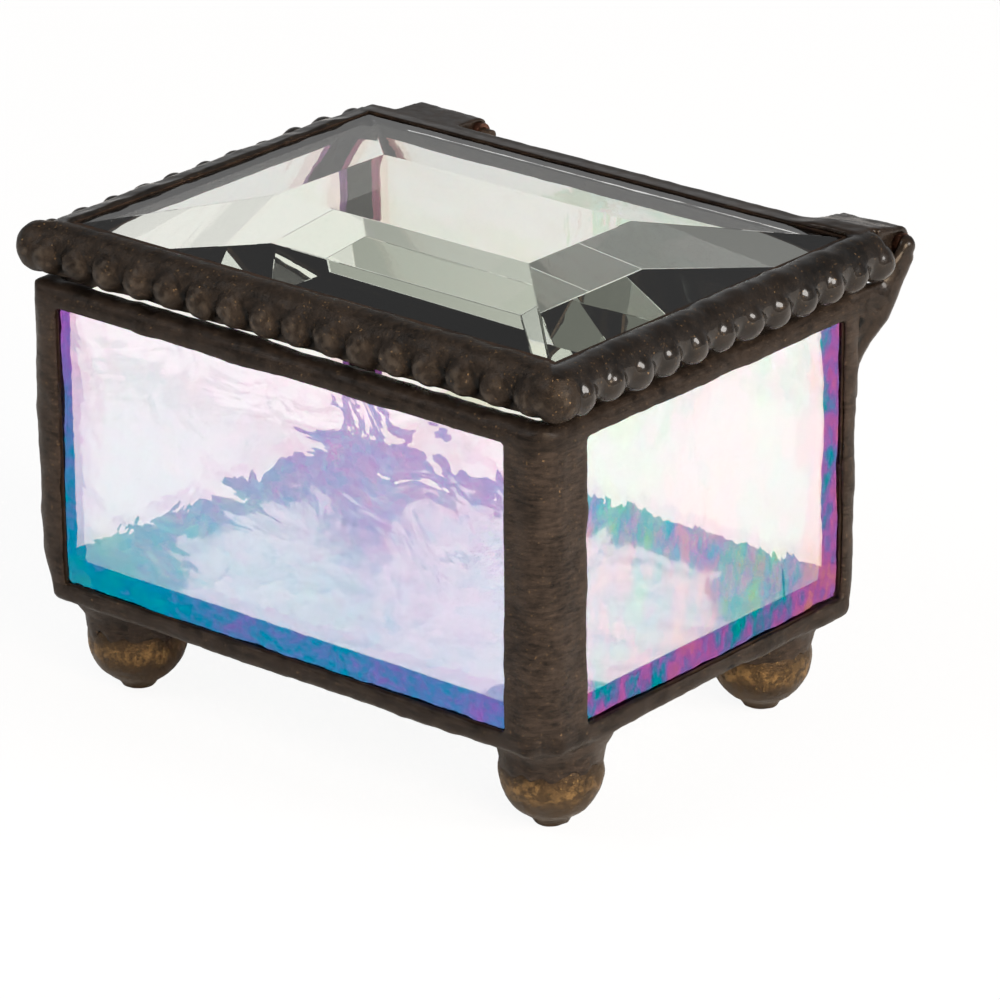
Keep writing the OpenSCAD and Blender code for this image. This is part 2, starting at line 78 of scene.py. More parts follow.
# %% Camera
scene = bpy.context.scene
middle_y = (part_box("front_glass")[0].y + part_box("back_glass")[1].y) / 2
azimuth, elevation, roll = math.radians(40.731), math.radians(21.735), math.radians(-0.599)
fit = 0.99  # the share of the labelled sizes at which the fit was made
distance, focal_pixels = 459.577 * fit * MM, 6088.15
aim = Vector((0, middle_y, 19 * MM * fit))
centre_u, centre_v = 446.168, 466.818
picture = 1000
back = Vector((math.sin(azimuth) * math.cos(elevation),
               -math.cos(azimuth) * math.cos(elevation), math.sin(elevation)))
right = Vector((math.cos(azimuth), math.sin(azimuth), 0))
up = back.cross(right)
turned_right = right * math.cos(roll) + up * math.sin(roll)
turned_up = up * math.cos(roll) - right * math.sin(roll)
lens = bpy.data.cameras.new("camera")
lens.sensor_width = 36
lens.lens = focal_pixels / picture * lens.sensor_width
lens.shift_x = (picture / 2 - centre_u) / picture
lens.shift_y = (centre_v - picture / 2) / picture
lens.clip_start, lens.clip_end = 0.01, 20
camera = bpy.data.objects.new("camera", lens)
camera.matrix_world = Matrix.Translation(back * distance + aim) @ \
    Matrix((turned_right, turned_up, back)).transposed().to_4x4()
scene.collection.objects.link(camera)
scene.camera = camera
print("camera at", [round(v, 4) for v in camera.location], "lens", round(lens.lens, 1))

# %% [markdown]
# Nodes are long to write out, so two small helpers set a node's values by name
# and join sockets. Everything after this reads like a parts list.

# %% Node helpers
def add_node(tree, kind, **values):
    made = tree.nodes.new(kind)
    for name, value in values.items():
        name = name.replace("_", " ") if name.replace("_", " ") in made.inputs else name
        if name in made.inputs:
            made.inputs[name].default_value = value
        else:
            setattr(made, name, value)
    return made


def join(tree, *pairs):
    for start, end in pairs:
        tree.links.new(start, end)


def ramp(tree, *stops):
    made = tree.nodes.new("ShaderNodeValToRGB")
    while len(made.color_ramp.elements) < len(stops):
        made.color_ramp.elements.new(0.5)
    for element, (place, colour) in zip(made.color_ramp.elements, stops):
        element.position = place
        element.color = (*colour, 1)
    return made


def span(tree, low, high, to_low=0.0, to_high=1.0):
    return add_node(tree, "ShaderNodeMapRange", From_Min=low, From_Max=high,
                    To_Min=to_low, To_Max=to_high)


def maths(tree, operation, first=None, second=None):
    made = tree.nodes.new("ShaderNodeMath")
    made.operation = operation
    for socket, value in zip(made.inputs, (first, second)):
        if isinstance(value, (int, float)):
            socket.default_value = value
        elif value is not None:
            tree.links.new(value, socket)
    return made


def new_group(name, inputs, outputs):
    tree = bpy.data.node_groups.new(name, "ShaderNodeTree")
    for kind, label, value in inputs:
        socket = tree.interface.new_socket(label, in_out="INPUT", socket_type=kind)
        socket.default_value = value
    for kind, label in outputs:
        tree.interface.new_socket(label, in_out="OUTPUT", socket_type=kind)
    return tree, tree.nodes.new("NodeGroupInput"), tree.nodes.new("NodeGroupOutput")


def new_material(name):
    made = bpy.data.materials.new(name)
    made.use_nodes = True
    return made, made.node_tree, made.node_tree.nodes["Principled BSDF"]


FLOAT, COLOUR, VECTOR = "NodeSocketFloat", "NodeSocketColor", "NodeSocketVector"
print("helpers ready")

# %% [markdown]
# Solder is blackened with a patina, then rubbed and waxed. Up close it is never
# one black: it drifts from brown to charcoal, the rubbing leaves fine streaks,
# and bare metal winks through as bronze specks. The group also paints shade:
# the creases and hollows of the skin go near black. On the front beads it
# paints a paler sheen on the high points, which partly stands for wear from
# rubbing. One node group makes all of that from object coordinates and from how
# sunken or proud the skin is, and each solder material asks it for its own mix.

# %% Patina group
patina, given, out = new_group("patina", [
    (COLOUR, "Dark", (0.012, 0.010, 0.009, 1)), (COLOUR, "Brown", (0.05, 0.035, 0.025, 1)),
    (COLOUR, "Bronze", (0.30, 0.19, 0.09, 1)), (FLOAT, "Speck", 0.3), (FLOAT, "Streak", 0.4),
    (FLOAT, "Rough", 0.4), (VECTOR, "Stretch", (1, 1, 1)), (FLOAT, "Hollow", 1.0),
    (FLOAT, "Rubbed", 0.0)],
    [(COLOUR, "Color"), (FLOAT, "Roughness"), (FLOAT, "Height")])
place = add_node(patina, "ShaderNodeTexCoord")
hollow = add_node(patina, "ShaderNodeAttribute", attribute_name="hollow")
stretched = add_node(patina, "ShaderNodeVectorMath", operation="MULTIPLY")
drift = add_node(patina, "ShaderNodeTexNoise", Scale=330, Detail=4, Roughness=0.6)
cloud = add_node(patina, "ShaderNodeTexNoise", Scale=1300, Detail=5, Roughness=0.65)
brush = add_node(patina, "ShaderNodeTexNoise", Scale=3800, Detail=3, Roughness=0.7)
grit = add_node(patina, "ShaderNodeTexNoise", Scale=5200, Detail=2, Roughness=0.6)
join(patina, (place.outputs["Object"], drift.inputs["Vector"]),
     (place.outputs["Object"], cloud.inputs["Vector"]),
     (place.outputs["Object"], grit.inputs["Vector"]),
     (place.outputs["Object"], stretched.inputs[0]), (given.outputs["Stretch"], stretched.inputs[1]),
     (stretched.outputs[0], brush.inputs["Vector"]))
blotch = maths(patina, "MULTIPLY_ADD", drift.outputs["Fac"], 0.55)
join(patina, (maths(patina, "MULTIPLY", cloud.outputs["Fac"], 0.45).outputs[0], blotch.inputs[2]))
blotch_range = span(patina, 0.36, 0.66)
join(patina, (blotch.outputs[0], blotch_range.inputs["Value"]))
base = add_node(patina, "ShaderNodeMix", data_type="RGBA")
join(patina, (blotch_range.outputs[0], base.inputs[0]), (given.outputs["Dark"], base.inputs[6]),
     (given.outputs["Brown"], base.inputs[7]))
brush_range = span(patina, 0.35, 0.68)
join(patina, (brush.outputs["Fac"], brush_range.inputs["Value"]))
brush_part = maths(patina, "MULTIPLY", brush_range.outputs[0], given.outputs["Streak"])
streaked = add_node(patina, "ShaderNodeMix", data_type="RGBA", blend_type="SCREEN")
streak_tint = add_node(patina, "ShaderNodeMix", data_type="RGBA", blend_type="MULTIPLY")
streak_tint.inputs[0].default_value = 1
streak_tint.inputs[7].default_value = (1.5, 1.45, 1.4, 1)
join(patina, (given.outputs["Brown"], streak_tint.inputs[6]), (brush_part.outputs[0], streaked.inputs[0]),
     (base.outputs[2], streaked.inputs[6]), (streak_tint.outputs[2], streaked.inputs[7]))
speck_range = span(patina, 0.66, 0.73)
join(patina, (grit.outputs["Fac"], speck_range.inputs["Value"]))
speck_here = span(patina, 0.5, 0.62)
join(patina, (cloud.outputs["Fac"], speck_here.inputs["Value"]))
speck_mask = maths(patina, "MULTIPLY", speck_range.outputs[0], speck_here.outputs[0])
speck_part = maths(patina, "MULTIPLY", speck_mask.outputs[0], given.outputs["Speck"])
speckled = add_node(patina, "ShaderNodeMix", data_type="RGBA")
join(patina, (speck_part.outputs[0], speckled.inputs[0]), (streaked.outputs[2], speckled.inputs[6]),
     (given.outputs["Bronze"], speckled.inputs[7]))
# Painted shade: where the skin is sunken, in creases and hollows, the colour goes near black as if in shadow.
sunk = span(patina, 0.15, 0.9)
proud = span(patina, -0.4, -1.0)
join(patina, (hollow.outputs["Fac"], sunk.inputs["Value"]), (hollow.outputs["Fac"], proud.inputs["Value"]))
crease_shade_mask = maths(patina, "MULTIPLY", sunk.outputs[0], given.outputs["Hollow"])
rubbed_sheen_tops = maths(patina, "MULTIPLY", proud.outputs[0], given.outputs["Rubbed"])
shaded = add_node(patina, "ShaderNodeMix", data_type="RGBA")
shaded.inputs[7].default_value = (0.0015, 0.0012, 0.001, 1)
# Painted sheen, partly wear from rubbing: the proud high points of the beads are raised to a paler brown.
rubbed_sheen_lift = add_node(patina, "ShaderNodeMix", data_type="RGBA")
rubbed_sheen_lift.inputs[7].default_value = (0.13, 0.108, 0.088, 1)
join(patina, (crease_shade_mask.outputs[0], shaded.inputs[0]), (speckled.outputs[2], shaded.inputs[6]),
     (rubbed_sheen_tops.outputs[0], rubbed_sheen_lift.inputs[0]), (shaded.outputs[2], rubbed_sheen_lift.inputs[6]),
     (rubbed_sheen_lift.outputs[2], out.inputs["Color"]))
rough_drift = span(patina, 0.3, 0.7, -0.12, 0.14)
join(patina, (cloud.outputs["Fac"], rough_drift.inputs["Value"]))
join(patina, (maths(patina, "ADD", rough_drift.outputs[0], given.outputs["Rough"]).outputs[0],
              out.inputs["Roughness"]))
height = maths(patina, "MULTIPLY_ADD", cloud.outputs["Fac"], 0.6)
brush_height = maths(patina, "MULTIPLY", brush_part.outputs[0], 0.5)
join(patina, (brush_height.outputs[0], height.inputs[2]), (height.outputs[0], out.inputs["Height"]))
print("patina group", len(patina.nodes), "nodes")


# %% Solder materials
def solder_material(name, dark, brown, speck, streak, rough, stretch, bump, metal=0.2, bronze=None, wax=0.0,
                    rubbed_sheen_tops=0.0):
    made, tree, shader = new_material(name)
    skin = add_node(tree, "ShaderNodeGroup", node_tree=patina, Dark=(*dark, 1), Brown=(*brown, 1),
                    Speck=speck, Streak=streak, Rough=rough, Stretch=stretch, Rubbed=rubbed_sheen_tops)
    if bronze:
        skin.inputs["Bronze"].default_value = (*bronze, 1)
    shader.inputs["Metallic"].default_value = metal
    shader.inputs["Specular IOR Level"].default_value = 0.14
    shader.inputs["Coat Weight"].default_value = wax
    shader.inputs["Coat Roughness"].default_value = 0.10
    shader.inputs["Coat IOR"].default_value = 1.4
    relief = add_node(tree, "ShaderNodeBump", Strength=bump, Distance=0.00012)
    join(tree, (skin.outputs["Color"], shader.inputs["Base Color"]),
         (skin.outputs["Roughness"], shader.inputs["Roughness"]),
         (skin.outputs["Height"], relief.inputs["Height"]),
         (relief.outputs["Normal"], shader.inputs["Normal"]))
    return made


seam_dark, seam_brown = (0.004, 0.0029, 0.0023), (0.026, 0.019, 0.015)
standing = solder_material("solder_brushed_upright", seam_dark, (0.034, 0.025, 0.020), 0.6, 0.45, 0.42,
                           (0.22, 0.22, 1), 0.5)
lying = solder_material("solder_brushed_along", seam_dark, seam_brown, 0.5, 0.35, 0.42, (0.12, 0.12, 1), 0.5)
beaded = solder_material("solder_beads_waxed", (0.0012, 0.0009, 0.0007), (0.013, 0.0085, 0.0055), 0.7, 0.1, 0.36,
                         (1, 1, 1), 0.6, wax=0.7)
# The front beads also get the painted sheen on their high points, partly wear from rubbing.
rubbed = solder_material("solder_beads_rubbed", (0.004, 0.003, 0.0023), (0.028, 0.0205, 0.0155), 0.9, 0.25, 0.44,
                         (1, 1, 1), 0.8, rubbed_sheen_tops=0.6)
smooth = solder_material("solder_smooth", (0.004, 0.003, 0.0022), (0.022, 0.015, 0.011), 0.2, 0.3, 0.34,
                         (0.3, 1, 1), 0.3, wax=0.3)
foil = solder_material("copper_foil_dark", (0.010, 0.008, 0.007), (0.035, 0.021, 0.014), 0.3, 0.2, 0.5,
                       (1, 1, 1), 0.3)
rod = solder_material("rod_dark", (0.014, 0.011, 0.009), (0.05, 0.034, 0.024), 0.5, 0.5, 0.4, (0.1, 1, 1), 0.4,
                      metal=0.6)
tube = solder_material("tube_copper", (0.025, 0.013, 0.010), (0.13, 0.058, 0.038), 0.4, 0.3, 0.35, (0.3, 1, 1),
                       0.3, metal=0.9, bronze=(0.6, 0.3, 0.18))
print("solder materials", standing.name, lying.name, beaded.name, rubbed.name, smooth.name)

# %% [markdown]
# The ball feet are brass. Wax and patina darken the top and the underside,
# while hands and tables rub a band round the middle back to gold. The wear
# follows the height on the ball, torn up by noise so its edge stays ragged.

# %% Brass of the feet
brass, tree, shader = new_material("brass_worn")
skin = add_node(tree, "ShaderNodeGroup", node_tree=patina, Dark=(0.012, 0.008, 0.005, 1),
                Brown=(0.055, 0.034, 0.017, 1), Bronze=(0.4, 0.26, 0.10, 1), Speck=0.8, Streak=0.3, Rough=0.42)
place = add_node(tree, "ShaderNodeTexCoord")
height_parts = add_node(tree, "ShaderNodeSeparateXYZ")
worn_noise = add_node(tree, "ShaderNodeTexNoise", Scale=420, Detail=5, Roughness=0.72)
up_from_table = span(tree, 0.0010, 0.0036)
down_from_box = span(tree, 0.0060, 0.0038)
join(tree, (place.outputs["Object"], height_parts.inputs[0]), (place.outputs["Object"], worn_noise.inputs["Vector"]),
     (height_parts.outputs["Z"], up_from_table.inputs["Value"]),
     (height_parts.outputs["Z"], down_from_box.inputs["Value"]))
band = maths(tree, "MULTIPLY", up_from_table.outputs[0], down_from_box.outputs[0])
torn = maths(tree, "MULTIPLY", band.outputs[0], worn_noise.outputs["Fac"])
worn = span(tree, 0.28, 0.55)
flecks = add_node(tree, "ShaderNodeTexNoise", Scale=1500, Detail=4, Roughness=0.7)
flecked = span(tree, 0.44, 0.58, 0.12, 1)
join(tree, (torn.outputs[0], worn.inputs["Value"]), (place.outputs["Object"], flecks.inputs["Vector"]),
     (flecks.outputs["Fac"], flecked.inputs["Value"]))
worn = maths(tree, "MULTIPLY", worn.outputs[0], flecked.outputs[0])
gold = add_node(tree, "ShaderNodeMix", data_type="RGBA")
gold.inputs[7].default_value = (0.24, 0.145, 0.058, 1)
join(tree, (worn.outputs[0], gold.inputs[0]), (skin.outputs["Color"], gold.inputs[6]),
     (gold.outputs[2], shader.inputs["Base Color"]), (skin.outputs["Roughness"], shader.inputs["Roughness"]))
pits = add_node(tree, "ShaderNodeTexNoise", Scale=2600, Detail=4, Roughness=0.7)
relief = add_node(tree, "ShaderNodeBump", Strength=0.8, Distance=0.00012)
shader.inputs["Metallic"].default_value = 0.75
join(tree, (place.outputs["Object"], pits.inputs["Vector"]), (pits.outputs["Fac"], relief.inputs["Height"]),
     (relief.outputs["Normal"], shader.inputs["Normal"]))
print("brass", brass.name)


# %% [markdown]
# The panes are hand-rolled glass with a rainbow coat. The coat is a film only
# a few hundred millionths of a millimetre thick, and its colour follows that
# thickness: on the front pane about 205 gives violet, 216 blue and 228 teal,
# and a film that bends light less needs more. A run from end to end, a slow
# noise and a fine one move the thickness, so the colour drifts. Over white the
# coat looks pale, and over dark solder it glows.

# %% Side glass
def pane_glass(name, film, along, streaks, swing, shimmer, waves, tint, film_index, rough=0.02):
    """A pane with a film of so many nanometres. Each run in along is (axis, start, end, gain) with its ends in mm."""
    made, tree, shader = new_material(name)
    place = add_node(tree, "ShaderNodeTexCoord")
    parts = add_node(tree, "ShaderNodeSeparateXYZ")
    stretch = add_node(tree, "ShaderNodeMapping")
    stretch.inputs["Scale"].default_value = streaks
    slow = add_node(tree, "ShaderNodeTexNoise", Scale=75, Detail=3, Roughness=0.55)
    fine = add_node(tree, "ShaderNodeTexNoise", Scale=620, Detail=5, Roughness=0.62)
    join(tree, (place.outputs["Object"], parts.inputs[0]), (place.outputs["Object"], stretch.inputs["Vector"]),
         (stretch.outputs[0], slow.inputs["Vector"]), (stretch.outputs[0], fine.inputs["Vector"]))
    total = span(tree, 0.25, 0.75, film - swing, film + swing)
    shift = span(tree, 0.25, 0.75, -shimmer, shimmer)
    join(tree, (slow.outputs["Fac"], total.inputs["Value"]), (fine.outputs["Fac"], shift.inputs["Value"]))
    total = maths(tree, "ADD", total.outputs[0], shift.outputs[0])
    for axis, start, end, gain in along:
        run = span(tree, start * MM, end * MM, -gain / 2, gain / 2)
        join(tree, (parts.outputs[axis], run.inputs["Value"]))
        total = maths(tree, "ADD", total.outputs[0], run.outputs[0])
    join(tree, (total.outputs[0], shader.inputs["Thin Film Thickness"]))
    shader.inputs["Thin Film IOR"].default_value = film_index
    shader.inputs["IOR"].default_value = 1.5
    shader.inputs["Transmission Weight"].default_value = 1
    shader.inputs["Roughness"].default_value = rough
    wave = add_node(tree, "ShaderNodeTexNoise", Scale=160, Detail=2.7, Roughness=0.46, Distortion=0.8)
    ripple = add_node(tree, "ShaderNodeBump", Strength=1, Distance=waves)
    join(tree, (stretch.outputs[0], wave.inputs["Vector"]), (wave.outputs["Fac"], ripple.inputs["Height"]),
         (ripple.outputs["Normal"], shader.inputs["Normal"]))
    colour = ramp(tree, (0.3, tint[0]), (0.7, tint[1]))
    join(tree, (slow.outputs["Fac"], colour.inputs[0]), (colour.outputs[0], shader.inputs["Base Color"]))
    return made


pale = [(0.90, 0.92, 1.0), (0.96, 0.94, 1.0)]
clean = [(0.97, 0.97, 0.97), (1.0, 1.0, 1.0)]


def across(gain):
    """A run from the left end of the box to the right end, in mm."""
    return ("X", -22, 22, gain)


def upward(gain):
    """A run from the foot of the panes to their top, in mm."""
    return ("Z", 10, 33, gain)


panes = {
    "front_glass": pane_glass("glass_front", 211, [across(-8), upward(-14)], (1, 1, 1.3), 5, 6, 0.00026, pale, 2.75),
    "right_glass": pane_glass("glass_right", 233, [upward(17)], (1, 1, 0.6), 30, 26, 0.00018, clean, 2.5),
    "back_glass": pane_glass("glass_back", 272, [across(16), upward(-16)], (1, 1, 1), 10, 5, 0.00018, clean, 2.1),
    "left_glass": pane_glass("glass_left", 276, [upward(-12)], (1, 1, 0.5), 16, 8, 0.00018, clean, 2.1),
    "bottom_glass": pane_glass("glass_bottom", 262, [across(-10)], (1, 1, 1), 8, 4, 0.0004, clean, 1.7, 0.3),
}


def dress(node, material):
    """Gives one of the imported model's own pieces its material."""
    node.data.materials.clear()
    node.data.materials.append(material)


for name, material in panes.items():
    dress(frame["nodes"][name], material)
print("panes", list(panes))

# %% [markdown]
# The lid is clear plate nearly five millimetres thick, ground to wide bevels.
# It has no pattern of its own: everything seen in it is the casket, cut up and
# stacked by the bevels, so its shape and index of refraction do the work. A
# weak green absorption gives the depth its colour, and the sharp arrises are
# broken by a hair so that they draw thin bright lines.

# %% Lid glass
clear, tree, shader = new_material("glass_bevelled")
shader.inputs["Transmission Weight"].default_value = 1
shader.inputs["IOR"].default_value = 1.52
shader.inputs["Roughness"].default_value = 0
place = add_node(tree, "ShaderNodeTexCoord")
cast = add_node(tree, "ShaderNodeTexNoise", Scale=30, Detail=1, Roughness=0.5)
cast_tint = ramp(tree, (0.3, (0.99, 1.0, 0.995)), (0.7, (0.97, 0.985, 0.975)))
join(tree, (place.outputs["Object"], cast.inputs["Vector"]), (cast.outputs["Fac"], cast_tint.inputs[0]),
     (cast_tint.outputs[0], shader.inputs["Base Color"]))
depth = add_node(tree, "ShaderNodeVolumeAbsorption", Color=(0.74, 0.82, 0.62, 1), Density=13)
join(tree, (depth.outputs[0], tree.nodes["Material Output"].inputs["Volume"]))


def welded(name):
    """A copy of one node's mesh in millimetres, with its loose triangles joined."""
    copy = bmesh.new()
    copy.from_mesh(frame["nodes"][name].data)
    bmesh.ops.scale(copy, vec=(1 / MM,) * 3, verts=copy.verts)
    bmesh.ops.remove_doubles(copy, verts=copy.verts, dist=0.002)
    return copy


def finish_piece(mesh, name, body, nodes, material, soft=True):
    """Makes an object of a mesh in millimetres and hands it to the frame."""
    mesh.transform(Matrix.Scale(MM, 4))
    mesh.name = name
    piece = bpy.data.objects.new(name, mesh)
    scene.collection.objects.link(piece)
    mesh.materials.clear()
    mesh.materials.append(material)
    if soft:
        mesh.shade_smooth()
    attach(piece, body)
    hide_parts(*nodes)
    return piece


slab = welded("lid_glass")
bmesh.ops.dissolve_limit(slab, angle_limit=0.01, verts=slab.verts, edges=slab.edges)
bmesh.ops.bevel(slab, geom=slab.edges, offset=0.07, offset_type="OFFSET", affect="EDGES",
                segments=2, profile=0.5, material=-1)
bmesh.ops.recalc_face_normals(slab, faces=slab.faces)
slab_mesh = bpy.data.meshes.new("bevelled_lid_glass")
slab.to_mesh(slab_mesh)
slab.free()
finish_piece(slab_mesh, "bevelled_lid_glass", "lid", ["lid_glass"], clear, soft=False)
print("lid glass", len(slab_mesh.polygons), "faces")

# %% [markdown]
# Solder is melted on, so it has no sharp corner anywhere and its outline
# wanders. The exact solids are joined into one body and wrapped in a fresh skin
# of small squares (a voxel remesh), which a few rounds of smoothing soften and
# seeded noise makes hand-worked. The skin is then parted again along the
# solids, so each seam stays a piece of its own and the metal still runs on
# from one to the next without a step.

# %% Molten skin helpers
def points_and_normals(mesh):
    points, normals = np.empty(len(mesh.vertices) * 3), np.empty(len(mesh.vertices) * 3)
    mesh.vertices.foreach_get("co", points)
    mesh.vertex_normals.foreach_get("vector", normals)
    return points.reshape(-1, 3), normals.reshape(-1, 3)


def noisy(points, normals, octaves, seed):
    """Moves points along their normals by smooth noise: (wavelength, amount) in mm."""
    moved = points.copy()
    for count, (wavelength, amount) in enumerate(octaves):
        shift = Vector((seed * 17.3 + count * 5.1, seed * 3.7, -seed * 9.2))
        values = np.array([noise.noise(Vector(p) / wavelength + shift) for p in points])
        moved += normals * (values * amount)[:, None]
    return moved


def molten_skin(names, voxel, rounds, octaves, seed, extra, shape):
    """One continuous soft skin round some nodes and what extra adds, as a mesh in millimetres that shape moved."""
    whole = bpy.data.meshes.new("whole")
    union = bmesh.new()
    for name in names:
        part = welded(name)
        part_mesh = bpy.data.meshes.new("part")
        part.to_mesh(part_mesh)
        part.free()
        union.from_mesh(part_mesh)
        bpy.data.meshes.remove(part_mesh)
    extra(union)
    union.to_mesh(whole)
    union.free()
    holder = bpy.data.objects.new("whole", whole)
    scene.collection.objects.link(holder)
    remesh = holder.modifiers.new("remesh", "REMESH")
    remesh.mode, remesh.voxel_size = "VOXEL", voxel
    soften = holder.modifiers.new("soften", "SMOOTH")
    soften.factor, soften.iterations = 0.5, rounds
    bpy.context.view_layer.update()
    skin_mesh = bpy.data.meshes.new_from_object(holder.evaluated_get(bpy.context.evaluated_depsgraph_get()))
    bpy.data.objects.remove(holder)
    moved = shape(noisy(*points_and_normals(skin_mesh), octaves, seed))
    skin_mesh.vertices.foreach_set("co", moved.ravel())
    skin_mesh.update()
    return skin_mesh


def neighbour_mean(skin_mesh):
    """A function that replaces each point's values by the mean of its neighbours' values."""
    count = len(skin_mesh.vertices)
    ends = np.empty(len(skin_mesh.edges) * 2, np.int64)
    skin_mesh.edges.foreach_get("vertices", ends)
    first, second = ends.reshape(-1, 2).T
    links = np.maximum(np.bincount(first, minlength=count) + np.bincount(second, minlength=count), 1)

    def spread(values):
        columns = [np.bincount(first, column[second], count) + np.bincount(second, column[first], count)
                   for column in values.T]
        return np.stack(columns, 1) / links[:, None]

    return spread


def relief_of(skin_mesh, depth):
    """Soft normals, and how hollow (up to 1) or proud (down to -1) the skin is at each point."""
    points, normals = points_and_normals(skin_mesh)
    spread = neighbour_mean(skin_mesh)
    bend = ((spread(points) - points) * normals).sum(1)[:, None]
    for _ in range(3):
        bend = 0.5 * bend + 0.5 * spread(bend)
        normals = 0.5 * normals + 0.5 * spread(normals)
    normals /= np.linalg.norm(normals, axis=1)[:, None]
    return normals.astype(np.float32), np.clip(bend[:, 0] / depth, -1, 1).astype(np.float32)


def part_by_node(skin_mesh, names):
    """Marks each face with the index of the node that lies nearest to it."""
    corners, triangles, owner = [], [], []
    for index, name in enumerate(names):
        part = welded(name)
        bmesh.ops.triangulate(part, faces=part.faces)
        start = len(corners)
        corners += [v.co.copy() for v in part.verts]
        part.verts.index_update()
        for face in part.faces:
            triangles.append([start + v.index for v in face.verts])
            owner.append(index)
        part.free()
    tree = BVHTree.FromPolygons(corners, triangles)
    centres = np.empty(len(skin_mesh.polygons) * 3)
    skin_mesh.polygons.foreach_get("center", centres)
    nearest = [owner[tree.find_nearest(Vector(c))[2]] for c in centres.reshape(-1, 3)]
    skin_mesh.polygons.foreach_set("material_index", nearest)


def separate_skin(skin_mesh, names, body, materials, depth):
    """Cuts a marked skin into one piece for each node, keeping the skin's own shading."""
    normals, hollow = relief_of(skin_mesh, depth)
    skin_mesh.materials.clear()
    for name in names:
        skin_mesh.materials.append(bpy.data.materials.new("mark_" + name))
    part_by_node(skin_mesh, names)
    skin_mesh.shade_smooth()
    count = len(skin_mesh.vertices)
    points = np.empty(count * 3, np.float32)
    skin_mesh.vertices.foreach_get("co", points)
    look_up = {p.tobytes(): i for i, p in enumerate(points.reshape(-1, 3))}
    holder = bpy.data.objects.new("skin", skin_mesh)
    scene.collection.objects.link(holder)
    bpy.ops.object.select_all(action="DESELECT")
    holder.select_set(True)
    bpy.context.view_layer.objects.active = holder
    before = set(bpy.data.objects)
    bpy.ops.object.mode_set(mode="EDIT")
    bpy.ops.mesh.select_all(action="SELECT")
    bpy.ops.mesh.separate(type="MATERIAL")
    bpy.ops.object.mode_set(mode="OBJECT")
    made = []
    for cut in [holder] + sorted(set(bpy.data.objects) - before, key=lambda o: o.name):
        mesh = cut.data
        if not len(mesh.polygons):
            bpy.data.objects.remove(cut)
            continue
        mark = mesh.materials[mesh.polygons[0].material_index].name
        index = names.index(mark.removeprefix("mark_"))
        own = np.empty(len(mesh.vertices) * 3, np.float32)
        mesh.vertices.foreach_get("co", own)
        rows = [look_up[p.tobytes()] for p in own.reshape(-1, 3)]
        mesh = mesh.copy()
        bpy.data.objects.remove(cut)
        mesh.polygons.foreach_set("material_index", np.zeros(len(mesh.polygons), np.int32))
        mesh.normals_split_custom_set_from_vertices(normals[rows])
        # How sunken or proud the skin is, for the patina's painted shade in creases and its painted sheen on high
        # points.
        mesh.attributes.new("hollow", "FLOAT", "POINT").data.foreach_set("value", hollow[rows])
        piece = finish_piece(mesh, names[index] + "_skin", body, [names[index]], materials[index],
                             soft=False)
        made.append((piece.name, len(mesh.polygons)))
    for material in [m for m in bpy.data.materials if m.name.startswith("mark_")]:
        bpy.data.materials.remove(material)
    return made


print("skin helpers ready")

# %% [markdown]
# On the box the solder is one network: four standing corner seams, the rim, the
# seams round the floor, the collars of the feet and the two runs that climb the
# hinge rods.

# %% Solder of the box
box_names = (["corner_seam_" + c for c in CORNERS] + ["top_rim_" + s for s in SIDES] +
             ["bottom_seam_" + s for s in SIDES] + ["foot_solder_" + c for c in CORNERS] +
             ["hinge_gusset_left", "hinge_gusset_right"])
box_middle = round(middle_y / MM, 2)
box_finish = [standing] * 4 + [lying] * 8 + [standing] * 4 + [smooth] * 2


def ease(value, low, high):
    """0 below low, 1 above high and a soft S between them."""
    part = np.clip((value - low) / (high - low), 0, 1)
    return part * part * (3 - 2 * part)


def flow(union, *drops):
    """Solder that ran between drops: the hull of each pair of neighbours (x, y, z, radius)."""
    for pair in zip(drops, drops[1:]):
        run = bmesh.new()
        for x, y, z, radius in pair:
            bmesh.ops.create_icosphere(run, subdivisions=3, radius=radius, matrix=Matrix.Translation((x, y, z)))
        points = [v.co.copy() for v in run.verts]
        run.clear()
        bmesh.ops.convex_hull(run, input=[run.verts.new(point) for point in points])
        bmesh.ops.delete(run, geom=[v for v in run.verts if not v.link_faces], context="VERTS")
        run_mesh = bpy.data.meshes.new("run")
        run.to_mesh(run_mesh)
        run.free()
        union.from_mesh(run_mesh)
        bpy.data.meshes.remove(run_mesh)


